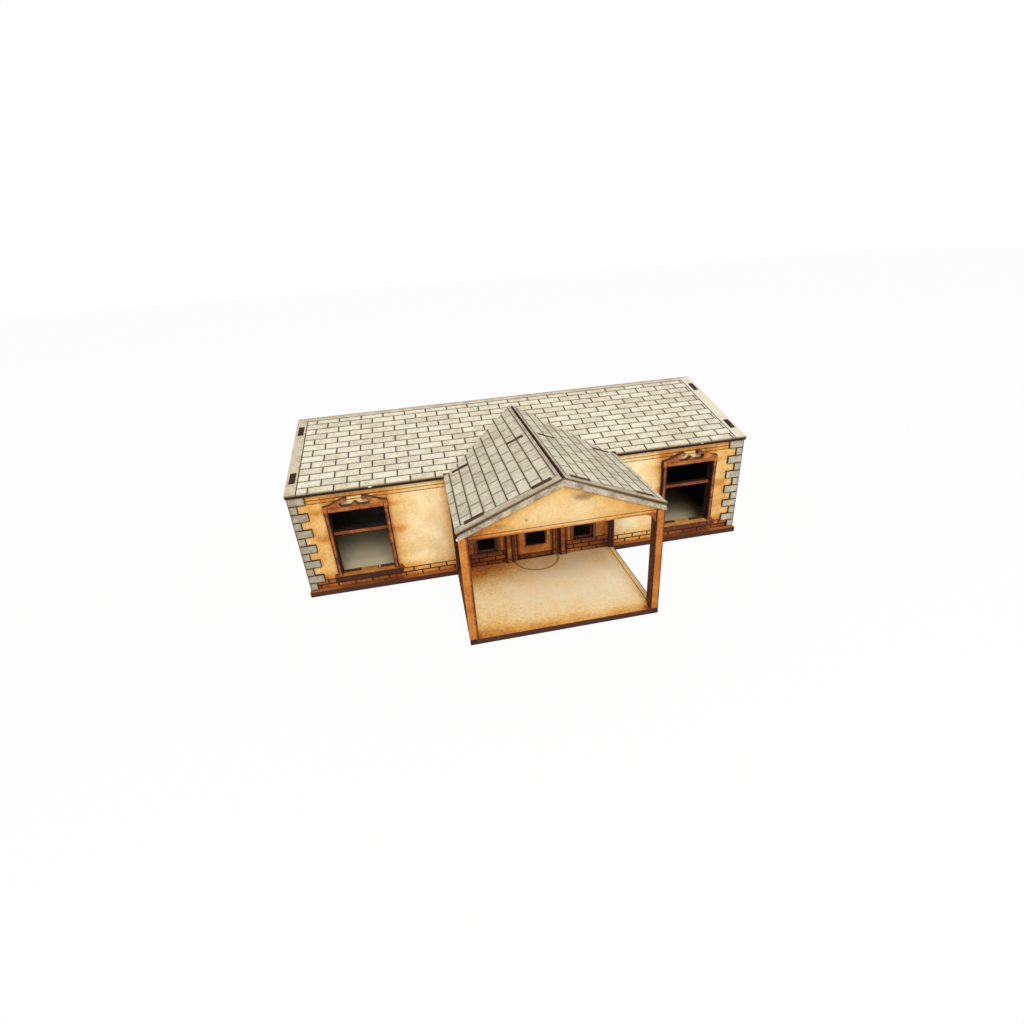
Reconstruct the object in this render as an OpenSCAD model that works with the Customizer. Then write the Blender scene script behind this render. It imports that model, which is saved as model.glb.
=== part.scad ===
// Bungalow with a gabled front porch: a tabletop model house cut from flat board,
// with card trim, held together by tabs in slots and by fingers at the corners.
// X runs along the front, the front faces -Y, Z is up from the surface it stands on.

/* [Sheet] */
// Thickness of the board
board = 3; // [2.4:0.1:3.6]
// Thickness of the roof board
roof_t = 2.2; // [1.8:0.1:3]
// Thickness of the trim card
card = 1; // [0.6:0.1:1.4]
// Clearance round a tab or a finger
fit_gap = 0.1; // [0.05:0.05:0.2]
// Length of a tab in a roof slope
roof_tab = 9.2; // [7:0.1:10]
// Length of a tab in the base
base_tab = 12; // [8:0.5:15]

/* [House] */
// Length of the base along the front
base_l = 250; // [208:1:300]
// Depth of the base without its porch
base_d = 145.6; // [121:0.2:175]
// Margin of the base in front of and behind the walls
wall_in = 2.9; // [1.5:0.1:4]
// Margin of the base at each end
end_in = 1.4; // [1:0.1:4]
// Height of the long walls
wall_h = 55.8; // [53:0.1:67.5]
// Pitch of the main roof in degrees
pitch = 14.5; // [12:0.1:17]
// Reach of the main roof's lower edge past the wall's face
eave_over = 1.6; // [1:0.1:2.4]
// Distance up the main roof to the middle of the lower tab
main_tab_low = 14.5; // [10:0.1:18]
// Distance down the main roof from the ridge to the middle of the upper tab
main_tab_high = 13.3; // [10:0.1:18]

/* [Corner blocks] */
// Rows of corner blocks
block_rows = 12; // [8:1:14]
// Width of a long corner block
block_long = 8.6; // [7:0.1:10]
// Width of a short corner block
block_short = 4.1; // [3:0.1:5]
// Clearance of the top row under the roof
block_gap = 0.15; // [0.1:0.05:0.5]

/* [Main windows] */
// Distance of each main window's middle from the end of the house
win_in = 31.6; // [29:0.1:38]
// Width of the opening
win_w = 27.9; // [23:0.1:31]
// Height of the opening
win_h = 38; // [32:0.5:39]
// Height of the opening's lower edge over the floor
win_up = 7.8; // [6:0.1:9]
// Height of the glazing bar over the opening's lower edge
bar_up = 23.4; // [18:0.1:28]
// Height of the glazing bar
bar_h = 1.7; // [1.2:0.1:2.5]
// Width of a window's side post
jamb_w = 2.1; // [1.6:0.1:3]
// Height of the lintel of a surround
head_h = 2.4; // [2:0.1:3]
// Height of a pediment over its lintel
pediment_h = 4.4; // [4:0.1:5.6]
// Gap between the two arms of a pediment
pediment_gap = 7.6; // [6.5:0.1:9]
// Height of an arm's tip
arm_tip_h = 1.6; // [1:0.1:2]
// Length of a window sill
sill_l = 36.4; // [35:0.1:38]
// Reach of a window sill from the wall's face
sill_out = 3.7; // [3.2:0.1:5.5]
// Width of the tongue that holds a sill in its opening
tongue_w = 8.7; // [6:0.1:20]

/* [Porch] */
// Width of the porch over its side frames
porch_w = 92; // [84:1:104]
// Depth of the porch in front of the base
porch_d = 61.2; // [51:0.2:72]
// Shift of the porch and the door to the right of the middle
porch_shift = 1.3; // [0:0.1:3]
// Drop of the porch's eaves under the top of the walls
porch_drop = 1.1; // [0.5:0.1:3]
// Pitch of the porch roof in degrees
porch_pitch = 21.6; // [17.5:0.1:23]
// Width of a front post
post_w = 4.1; // [3:0.1:6]
// Depth of the beam over the porch's open front, at the posts
beam_h = 2.6; // [2:0.1:6]
// Width of a side frame's posts and top bar
side_w = 4; // [3:0.1:6]
// Radius in the upper corners of the porch openings
corner_r = 6; // [3:0.5:10]
// Height of the porch ridge's rear end over the main roof
ridge_gap = 0.7; // [0.2:0.1:0.9]
// Clearance between the two roofs along their valleys
valley_gap = 0.15; // [0.1:0.05:0.3]
// Distance up the porch roof to the middle of the lower tab
porch_tab_low = 9.4; // [7:0.1:12]
// Distance down the porch roof from the ridge to the middle of the upper tab
porch_tab_high = 8.1; // [6:0.1:12]
// Height of the fascia at its peak, measured upright
fascia_h = 3.2; // [2.5:0.1:4]
// Height of the fascia at its ends
fascia_end_h = 2.4; // [1.8:0.1:4]
// Extra pitch of the fascia over the porch roof's, in degrees
fascia_extra = 1; // [0:0.1:2]
// Height of the gable boards over the porch opening
gable_up = 1.2; // [0.5:0.1:1.5]

/* [Door and porch windows] */
// Width of the door's opening in the wall
door_open_w = 26.4; // [24:0.1:30]
// Height of the door's opening in the wall
door_open_h = 43; // [40:0.5:45]
// Width of the door
door_w = 20.1; // [18:0.1:22]
// Height of the door
door_h = 41; // [36:0.5:42]
// Width of the door's light
light_w = 11.3; // [9:0.1:13]
// Height of the door's light
light_h = 28; // [20:0.5:30]
// Height of the light's lower edge over the floor
light_up = 7.4; // [5:0.1:9]
// Gap between the door's opening and its side pillars
pillar_in = 0.9; // [0.5:0.1:1.5]
// Width of a side pillar
pillar_w = 3.2; // [2.5:0.1:4]
// Width of a pillar's foot
foot_w = 4.2; // [3.5:0.1:5]
// Height of a pillar's foot
foot_h = 1.8; // [1.2:0.1:3]
// Distance of each porch window from the middle of the porch
pwin_x = 28; // [26:0.1:30]
// Width of a porch window's opening
pwin_w = 12.2; // [10:0.1:14]
// Height of a porch window's opening
pwin_h = 36; // [30:0.5:38]
// Height of a porch window's lower edge over the floor
pwin_up = 7.4; // [6:0.1:10]
// Width of a porch window's frame inside its opening
pwin_rim = 1.3; // [1:0.1:2]

/* [Hidden] */
$fn = 32;

board_tan = "#f2cf92";
burnt_tan = "#c9813f";
roof_grey = "#d3c8b0";
card_grey = "#b9b6ac";

// House frame: X from the middle of the base, Y from its front edge, Z from its underside
floor_z = board;
wall_top = floor_z + wall_h;
half_l = base_l / 2 - end_in;
ridge_y = base_d / 2;
eave_y = wall_in - eave_over;
eave_z = wall_top - eave_over * tan(pitch);
slope_l = (ridge_y - eave_y) / cos(pitch);
main_tabs = [main_tab_low, slope_l - main_tab_high];
blocks_h = wall_h - card * tan(pitch) - block_gap;
win_x = half_l - win_in;

porch_half = porch_w / 2;
porch_inner = porch_half - board;
porch_eave_z = wall_top - porch_drop;
porch_peak_z = porch_eave_z + porch_half * tan(porch_pitch);
porch_slope = porch_half / cos(porch_pitch);
porch_rim = porch_half + roof_t * sin(porch_pitch);
porch_tabs = [porch_tab_low, porch_slope - porch_tab_high];
// Where the porch roof has risen over the front wall: up its slope, and from its middle
foot_s = (wall_top + valley_gap - porch_eave_z) / sin(porch_pitch);
valley_foot = porch_rim - foot_s * cos(porch_pitch);
// Length of the porch ridge behind the wall's face, to where the main roof comes up to it
valley_run = (porch_peak_z - ridge_gap - wall_top - roof_t / cos(pitch)) / tan(pitch);
porch_open_z = porch_eave_z - beam_h;
gable_z = porch_open_z + gable_up;
// Front faces of the two gable boards
gable_front_y = -porch_d + board;
gable_back_y = wall_in - board;

surround_y = wall_in - board;
sill_past = sill_out - wall_in;
middle_y = (base_d + sill_past - porch_d - card) / 2;
base_tabs_long = [-base_l / 4, base_l / 4];
base_tabs_end = [base_d / 4, base_d * 3 / 4];

// Reach of a capital past its post, and below the lintel
cap_past = 0.2;
cap_drop = 1.3;
// Height of a pediment's outer end over the lintel, and number of steps in its ogee
shoulder_h = 0.7;
ogee_steps = 12;
// The bud between the arms: width of its foot and of its top, and height
bud_w = 3.7;
bud_top_w = 1.3;
bud_h = 1.6;
// Overlap of two shapes that make one piece, and reach of a cut past an edge
fuse = 1;

// The house frame's origin, from the part's own: the middle of everything seen from above
module house() {
    translate([0, -middle_y, 0]) children();
}

// Carries a piece of the front over to the back, where back is true
module at_back(back) {
    translate([0, back ? base_d : 0, 0]) mirror([0, back ? 1 : 0, 0]) children();
}

// A sheet that faces front, from y backwards, drawn in X and Z
module facing_front(y, t = board) {
    translate([0, y + t, 0]) rotate([90, 0, 0]) linear_extrude(t) children();
}

// A sheet that faces sideways, from x to the right, drawn in Y and Z
module facing_side(x, t = board) {
    translate([x, 0, 0]) rotate([90, 0, 90]) linear_extrude(t) children();
}

// A slot for a tab of length l through a sheet of the board's thickness, from its middle
module slot(l) {
    square([l + 2 * fit_gap, board + 2 * fit_gap], center = true);
}

// ---- base and walls

module base_outline() {
    translate([-base_l / 2, 0]) square([base_l, base_d]);
    translate([porch_shift - porch_inner, -porch_d]) square([2 * porch_inner, porch_d + fuse]);
}

module base_plate() {
    color(board_tan) house() linear_extrude(board) difference() {
        base_outline();
        for (x = base_tabs_long, y = [wall_in + board / 2, base_d - wall_in - board / 2])
            translate([x, y]) slot(base_tab);
        for (side = [-1, 1], y = base_tabs_end)
            translate([side * (half_l - board / 2), y]) rotate(90) slot(base_tab);
    }
}

// The middle third of a long wall's edge lets the end wall's finger through
module long_wall_sheet() {
    difference() {
        translate([-half_l, floor_z]) square([2 * half_l, wall_h]);
        for (side = [-1, 1])
            translate([side * (half_l - board / 2), floor_z + wall_h / 2])
                square([board + 2 * fit_gap, wall_h / 3 + 2 * fit_gap], center = true);
    }
    for (x = base_tabs_long)
        translate([x - base_tab / 2, 0]) square([base_tab, board + fuse]);
}

// A window opening in two lights, with the glazing bar left between them, and a notch
// in its lower edge for the sill's tongue
module window_opening() {
    low = floor_z + win_up;
    translate([-win_w / 2, low]) square([win_w, bar_up]);
    translate([-win_w / 2, low + bar_up + bar_h]) square([win_w, win_h - bar_up - bar_h]);
    translate([-tongue_w / 2 - fit_gap, low - board - fit_gap])
        square([tongue_w + 2 * fit_gap, board + fit_gap + fuse]);
}

module main_windows() {
    for (side = [-1, 1])
        translate([side * win_x, 0]) window_opening();
}

module front_wall() {
    color(board_tan) house() facing_front(wall_in) difference() {
        long_wall_sheet();
        main_windows();
        translate([porch_shift - door_open_w / 2, floor_z]) square([door_open_w, door_open_h]);
        for (side = [-1, 1])
            translate([porch_shift + side * pwin_x - pwin_w / 2, floor_z + pwin_up])
                square([pwin_w, pwin_h]);
    }
}

module back_wall() {
    color(board_tan) house() at_back(true) facing_front(wall_in) difference() {
        long_wall_sheet();
        main_windows();
    }
}

// A tab that stands up from a slope's lower face to its upper one, at distance s along it
module slope_tab(s) {
    translate([s - roof_tab / 2, -fuse]) square([roof_tab, roof_t + fuse]);
}

module half_gable_tabs() {
    translate([eave_y, eave_z]) rotate(pitch)
        for (s = main_tabs) slope_tab(s);
}

module end_wall_sheet() {
    difference() {
        polygon([[wall_in, floor_z], [base_d - wall_in, floor_z], [base_d - wall_in, wall_top],
            [ridge_y, wall_top + (ridge_y - wall_in) * tan(pitch)], [wall_in, wall_top]]);
        for (y = [wall_in, base_d - wall_in], z = [floor_z, floor_z + wall_h * 2 / 3])
            translate([y - board - fit_gap, z - fit_gap])
                square([2 * (board + fit_gap), wall_h / 3 + 2 * fit_gap + (z > floor_z ? board : 0)]);
    }
    half_gable_tabs();
    translate([base_d, 0]) mirror([1, 0]) half_gable_tabs();
    for (y = base_tabs_end)
        translate([y - base_tab / 2, 0]) square([base_tab, board + fuse]);
}

module end_wall(side) {
    color(board_tan) house() facing_side(side < 0 ? -half_l : half_l - board) end_wall_sheet();
}

// ---- main roof

// One slope as a flat outline: X, and the distance up from its lower edge
module slope_outline() {
    difference() {
        translate([-base_l / 2, 0]) square([base_l, slope_l]);
        for (side = [-1, 1], s = main_tabs)
            translate([side * (half_l - board / 2), s]) rotate(90) slot(roof_tab);
    }
}

// The distance up the front slope to the point of its upper face that lies at y
function slope_at(y) = (y - eave_y + roof_t * sin(pitch)) / cos(pitch);

// The opening under the porch roof: the eaves in front of the wall, and the valleys' outline
// on the front slope behind it
module valley_notch() {
    rim = porch_rim + valley_gap;
    foot = valley_foot + valley_gap;
    wall_s = slope_at(wall_in);
    translate([porch_shift, 0])
        polygon([[-rim, -fuse], [rim, -fuse], [rim, wall_s], [foot, wall_s],
            [0, slope_at(wall_in + valley_run) + valley_gap], [-foot, wall_s], [-rim, wall_s]]);
}

module on_slope() {
    translate([0, eave_y, eave_z]) rotate([pitch, 0, 0]) linear_extrude(roof_t) children();
}

module roof_front() {
    color(roof_grey) house() on_slope() difference() {
        slope_outline();
        valley_notch();
    }
}

module roof_back() {
    color(roof_grey) house() at_back(true) on_slope() slope_outline();
}

// ---- corner blocks

// A strip of blocks from an edge at 0, long and short by turns from the top down
module block_strip() {
    row_h = blocks_h / block_rows;
    translate([0, floor_z]) square([block_short, blocks_h]);
    for (row = [1 : 2 : block_rows])
        translate([0, floor_z + blocks_h - row * row_h]) square([block_long, row_h]);
}

// Carries a strip of the front left corner to any of the four
module at_corner(side, back) {
    color(card_grey) house() at_back(back) mirror([side > 0 ? 1 : 0, 0, 0]) children();
}

// On the long wall, past the end wall by the card's thickness
module blocks_long(side, back) {
    at_corner(side, back) facing_front(wall_in - card, card)
        translate([-half_l - card, 0]) block_strip();
}

// On the end wall, behind the other strip
module blocks_end(side, back) {
    at_corner(side, back) facing_side(-half_l - card, card) translate([wall_in, 0]) block_strip();
}

// ---- windows

// The right half of a swan-neck pediment and its lintel, w wide in all, from the middle of
// the lintel's foot: an ogee from the shoulder up to the arm's tip, and a hollow under it
module half_pediment(w) {
    top = head_h + pediment_h;
    shoulder = head_h + shoulder_h;
    tip_x = pediment_gap / 2;
    hollow_r = (pediment_h - arm_tip_h) / 2;
    difference() {
        polygon(concat([[0, 0], [w / 2, 0]],
            [for (i = [0 : ogee_steps])
                [w / 2 + (tip_x - w / 2) * i / ogee_steps,
                 shoulder + (top - shoulder) * (1 - cos(180 * i / ogee_steps)) / 2]],
            [[tip_x, head_h], [0, head_h]]));
        translate([0, head_h]) square([pediment_gap - hollow_r, 2 * hollow_r]);
        translate([pediment_gap - hollow_r, head_h + hollow_r]) circle(r = hollow_r);
    }
}

// The bell-shaped bud between the arms
module bud() {
    flank_r = (bud_w - bud_top_w) / 2;
    difference() {
        translate([-bud_w / 2, head_h - fuse]) square([bud_w, bud_h + fuse]);
        for (side = [-1, 1])
            translate([side * bud_w / 2, head_h + bud_h]) circle(r = flank_r);
    }
}

// A surround's outline: two posts, capitals, lintel and pediment, from the floor's level
module surround_outline(inner_w, post, foot, head) {
    capital_w = post + cap_past;
    outer_w = inner_w + 2 * capital_w;
    for (side = [0, 1]) mirror([side, 0]) {
        translate([inner_w / 2, foot]) square([post, head - foot + fuse]);
        translate([inner_w / 2, head - cap_drop]) square([capital_w, cap_drop + fuse]);
        translate([0, head]) half_pediment(outer_w);
    }
    translate([0, head]) bud();
}

module surround(side, back) {
    sill_z = floor_z + win_up;
    color(burnt_tan) house() at_back(back) translate([side * win_x, 0, 0]) facing_front(surround_y)
        surround_outline(win_w, jamb_w, sill_z, sill_z + win_h);
}

// A board under the surround, with a tongue in the opening
module sill(side, back) {
    color(burnt_tan) house() at_back(back)
        translate([side * win_x, wall_in, floor_z + win_up - board]) {
            translate([-sill_l / 2, -sill_out, 0]) cube([sill_l, sill_out, board]);
            translate([-tongue_w / 2, -fuse, 0]) cube([tongue_w, board + fuse, board]);
        }
}

// ---- porch

module porch() {
    translate([porch_shift, 0, 0]) children();
}

// The gable between the floor or a higher level and the porch roof
module gable_outline(half_w, low_z) {
    edge_z = porch_peak_z - half_w * tan(porch_pitch);
    polygon([[-half_w, low_z], [half_w, low_z], [half_w, edge_z], [0, porch_peak_z],
        [-half_w, edge_z]]);
}

// An opening from level low_z up to high_z, round in its upper corners
module round_top(left, right, low_z, high_z) {
    translate([left, low_z]) square([right - left, high_z - low_z - corner_r]);
    translate([left + corner_r, low_z]) square([right - left - 2 * corner_r, high_z - low_z]);
    for (x = [left + corner_r, right - corner_r])
        translate([x, high_z - corner_r]) circle(r = corner_r, $fn = 64);
}

module porch_front_frame() {
    color(burnt_tan) house() porch() facing_front(-porch_d) difference() {
        gable_outline(porch_half, floor_z);
        round_top(-porch_half + post_w, porch_half - post_w, floor_z - fuse, porch_open_z);
    }
}

// A board in the gable whose tabs come up through the porch roof
module porch_gable(y) {
    color(board_tan) house() porch() facing_front(y) {
        gable_outline(porch_inner - fit_gap, gable_z);
        for (side = [0, 1])
            mirror([side, 0]) translate([-porch_half, porch_eave_z]) rotate(porch_pitch)
                for (s = porch_tabs) slope_tab(s);
    }
}

// A side frame: its foot runs beside the base, its posts stand behind the front frame
// and in front of the wall
module porch_side(side) {
    front = -porch_d + board;
    color(burnt_tan) house() porch() facing_side(side < 0 ? -porch_half : porch_inner) {
        translate([-porch_d, 0]) square([porch_d - fit_gap, board]);
        difference() {
            translate([front, floor_z]) square([wall_in - front, porch_eave_z - floor_z]);
            round_top(front + side_w, wall_in - side_w, floor_z - fuse, porch_eave_z - side_w);
        }
    }
}

// The left slope of the porch roof, flat: Y, and the distance up from the eave. Its edge
// stays in front of the wall until it has risen over it, and then follows the valley.
module porch_slope_outline() {
    top_y = wall_in + valley_run * (1 - roof_t * sin(porch_pitch) / valley_foot);
    difference() {
        polygon([[-porch_d, 0], [wall_in, 0], [wall_in, foot_s], [top_y, porch_slope],
            [-porch_d, porch_slope]]);
        for (y = [gable_front_y, gable_back_y], s = porch_tabs)
            translate([y + board / 2, s]) rotate(90) slot(roof_tab);
    }
}

module porch_roof(side) {
    color(roof_grey) house() porch() mirror([side > 0 ? 1 : 0, 0, 0])
        translate([-porch_half, 0, porch_eave_z]) rotate([0, -porch_pitch, 0])
            linear_extrude(roof_t) mirror([1, -1]) porch_slope_outline();
}

// A chevron of card on the front of the gable, up to the roof's highest edges
module porch_fascia() {
    peak = porch_peak_z + roof_t * cos(porch_pitch);
    end = peak - porch_half * tan(porch_pitch + fascia_extra);
    color(card_grey) house() porch() facing_front(-porch_d - card, card)
        polygon([[0, peak], [porch_half, end], [porch_half, end - fascia_end_h],
            [0, peak - fascia_h], [-porch_half, end - fascia_end_h], [-porch_half, end]]);
}

// ---- door and porch windows

module door_surround() {
    inner_w = door_open_w + 2 * pillar_in;
    color(burnt_tan) house() porch() {
        facing_front(surround_y)
            surround_outline(inner_w, pillar_w, floor_z, floor_z + door_open_h);
        for (side = [-1, 1])
            translate([side * (inner_w + pillar_w) / 2 - foot_w / 2, surround_y - card, floor_z])
                cube([foot_w, card + board / 2, foot_h]);
    }
}

// A frame round the door, let into the wall's opening
module door_frame() {
    half_w = door_open_w / 2 - fit_gap;
    color(burnt_tan) house() porch() facing_front(wall_in) difference() {
        translate([-half_w, floor_z]) square([2 * half_w, door_open_h - fit_gap]);
        translate([-door_w / 2 - fit_gap, floor_z - fuse])
            square([door_w + 2 * fit_gap, door_h + fit_gap + fuse]);
    }
}

module front_door() {
    color(burnt_tan) house() porch() facing_front(wall_in) difference() {
        translate([-door_w / 2, floor_z]) square([door_w, door_h]);
        translate([-light_w / 2, floor_z + light_up]) square([light_w, light_h]);
    }
}

// A window in two lights, let into its opening in the wall, with the main windows' bar
module porch_window(side) {
    low = floor_z + pwin_up;
    light = pwin_w - 2 * pwin_rim;
    bar_z = floor_z + win_up + bar_up;
    color(burnt_tan) house() porch() translate([side * pwin_x, 0, 0]) facing_front(wall_in) difference() {
        translate([-pwin_w / 2 + fit_gap, low + fit_gap])
            square([pwin_w - 2 * fit_gap, pwin_h - 2 * fit_gap]);
        translate([-light / 2, low + pwin_rim]) square([light, bar_z - low - pwin_rim]);
        translate([-light / 2, bar_z + bar_h])
            square([light, low + pwin_h - pwin_rim - bar_z - bar_h]);
    }
}

base_plate();
front_wall();
back_wall();
end_wall(-1);  // end_wall_left
end_wall(1);  // end_wall_right
roof_front();
roof_back();
blocks_long(-1, false);  // blocks_front_left
blocks_long(1, false);  // blocks_front_right
blocks_long(-1, true);  // blocks_back_left
blocks_long(1, true);  // blocks_back_right
blocks_end(-1, false);  // blocks_end_front_left
blocks_end(1, false);  // blocks_end_front_right
blocks_end(-1, true);  // blocks_end_back_left
blocks_end(1, true);  // blocks_end_back_right
surround(-1, false);  // surround_front_left
surround(1, false);  // surround_front_right
surround(-1, true);  // surround_back_left
surround(1, true);  // surround_back_right
sill(-1, false);  // sill_front_left
sill(1, false);  // sill_front_right
sill(-1, true);  // sill_back_left
sill(1, true);  // sill_back_right
porch_front_frame();
porch_gable(gable_front_y);  // porch_gable_front
porch_gable(gable_back_y);  // porch_gable_back
porch_side(-1);  // porch_side_left
porch_side(1);  // porch_side_right
porch_roof(-1);  // porch_roof_left
porch_roof(1);  // porch_roof_right
porch_fascia();
door_surround();
door_frame();
front_door();
porch_window(-1);  // porch_window_left
porch_window(1);  // porch_window_right
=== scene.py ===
import math
from collections import namedtuple
import bmesh
import bpy
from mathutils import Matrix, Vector, noise


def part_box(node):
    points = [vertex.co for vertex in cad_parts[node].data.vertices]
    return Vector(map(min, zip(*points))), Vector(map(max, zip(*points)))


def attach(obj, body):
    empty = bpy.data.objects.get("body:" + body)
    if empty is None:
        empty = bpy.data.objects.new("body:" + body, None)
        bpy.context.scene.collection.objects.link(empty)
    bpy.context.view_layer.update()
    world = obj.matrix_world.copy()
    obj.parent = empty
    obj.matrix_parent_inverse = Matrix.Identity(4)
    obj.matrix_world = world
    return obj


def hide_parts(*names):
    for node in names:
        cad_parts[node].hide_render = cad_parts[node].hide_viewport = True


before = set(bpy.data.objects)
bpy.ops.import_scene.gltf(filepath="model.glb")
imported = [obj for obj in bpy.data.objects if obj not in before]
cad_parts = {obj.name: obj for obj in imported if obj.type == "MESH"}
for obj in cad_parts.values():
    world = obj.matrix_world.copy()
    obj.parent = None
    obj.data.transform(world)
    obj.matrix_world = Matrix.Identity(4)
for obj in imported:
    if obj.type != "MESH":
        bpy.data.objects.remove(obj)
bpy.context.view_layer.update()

# ---- sizes in millimetres, most of them from the frame

MM = 0.001


def low_mm(node):
    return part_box(node)[0] / MM


def high_mm(node):
    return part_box(node)[1] / MM


def middle_mm(node):
    return (low_mm(node) + high_mm(node)) / 2


BOARD = high_mm("base_plate").z
PITCH = math.radians(14.5)
PORCH_PITCH = math.radians(21.6)
ROOF_T = 2.2
WALL_TOP = high_mm("front_wall").z
WALL_FACE = low_mm("front_wall").y
WALL_DEPTH = high_mm("back_wall").y - WALL_FACE
HALF_WALL = high_mm("front_wall").x
BLOCKS_OVER = 7.0
WINDOW_X = middle_mm("surround_front_right").x
WINDOW_HALF = high_mm("surround_front_right").x - WINDOW_X
SILL_TOP = high_mm("sill_front_left").z
SURROUND_TOP = high_mm("surround_front_left").z
PORCH_X = middle_mm("porch_front_frame").x
PORCH_HALF = high_mm("porch_front_frame").x - PORCH_X
PORCH_IN = PORCH_HALF - BOARD
PORCH_FRONT = low_mm("porch_front_frame").y
PORCH_PEAK = high_mm("porch_front_frame").z
SEAT_GAP = 0.05
DOORWAY_HALF = 14.1
PILLAR_W = 3.2
PILLAR_OUT = high_mm("door_surround").x - PORCH_X + SEAT_GAP

# ---- colours


def tone(red, green, blue):
    """A colour from its 8-bit sRGB values, as a shader's linear ones."""
    parts = (c / 255 for c in (red, green, blue))
    return (*(c / 12.92 if c < 0.04045 else ((c + 0.055) / 1.055) ** 2.4 for c in parts), 1)


WHITE = (1, 1, 1, 1)
INK = tone(58, 26, 12)
CHAR = tone(38, 22, 16)
GRIME = tone(212, 196, 174)
SPECK = tone(92, 52, 24)
# From fresh board at 0 to charred board at 1.
HEAT = (
    (0.00, tone(255, 244, 214)),
    (0.18, tone(254, 228, 174)),
    (0.36, tone(242, 194, 118)),
    (0.50, tone(222, 152, 72)),
    (0.64, tone(180, 104, 46)),
    (0.78, tone(128, 68, 36)),
    (0.90, tone(72, 38, 24)),
    (1.00, tone(34, 20, 14)),
)

# ---- material maths


class Field:
    """A value that varies over a surface: a node's output, with arithmetic that adds nodes."""

    def __init__(self, nodes, socket):
        self.nodes = nodes
        self.socket = socket

    def __add__(self, other):
        return self.nodes.math("ADD", self, other)

    def __sub__(self, other):
        return self.nodes.math("SUBTRACT", self, other)

    def __rsub__(self, other):
        return self.nodes.math("SUBTRACT", other, self)

    def __mul__(self, other):
        return self.nodes.math("MULTIPLY", self, other)

    def __truediv__(self, other):
        return self.nodes.math("DIVIDE", self, other)

    def __rtruediv__(self, other):
        return self.nodes.math("DIVIDE", other, self)

    __radd__ = __add__
    __rmul__ = __mul__

    def __neg__(self):
        return self * -1

    def __abs__(self):
        return self.nodes.math("ABSOLUTE", self)

    def root(self):
        return self.nodes.math("SQRT", self)

    def floor(self):
        return self.nodes.math("FLOOR", self)

    def odd(self):
        """1 for an odd whole number and 0 for an even one."""
        return self.nodes.math("FLOORED_MODULO", self, 2)

    def least(self, other):
        return self.nodes.math("MINIMUM", self, other)

    def most(self, other):
        return self.nodes.math("MAXIMUM", self, other)

    def above(self, limit):
        return self.nodes.math("GREATER_THAN", self, limit)

    def below(self, limit):
        return self.nodes.math("LESS_THAN", self, limit)

    def between(self, low, high):
        return self.above(low) * self.below(high)

    def rise(self, low, high):
        """0 under low, 1 over high, and smooth between."""
        settings = {"interpolation_type": "SMOOTHSTEP"}
        return self.nodes.node("MapRange", settings, {"Value": self, "From Min": low, "From Max": high})

    def fall(self, low, high):
        return 1 - self.rise(low, high)

    def line(self, width, blur=0.12):
        """A line of that width where the value is 0."""
        return abs(self).fall(width / 2 - blur, width / 2 + blur)

    def from_multiple(self, step):
        """Distance from the nearest multiple of step."""
        return self.nodes.math("PINGPONG", self, step / 2)


class Nodes:
    """A node tree, and what adds to it."""

    def __init__(self, tree):
        self.tree = tree

    def node(self, kind, settings=None, inputs=None, output=0):
        """Adds a node: its settings first, then the values or links of its sockets."""
        made = self.tree.nodes.new("ShaderNode" + kind)
        for name, value in (settings or {}).items():
            if name == "stops":
                set_stops(made.color_ramp.elements, value)
            else:
                setattr(made, name, value)
        self.fill(made, inputs or {})
        return Field(self, made.outputs[output])

    def fill(self, node, inputs):
        """Gives a node's sockets their values or links."""
        for key, value in inputs.items():
            if isinstance(value, Field):
                self.tree.links.new(value.socket, node.inputs[key])
            else:
                node.inputs[key].default_value = value

    def math(self, operation, *values):
        return self.node("Math", {"operation": operation}, dict(enumerate(values)))


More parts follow.
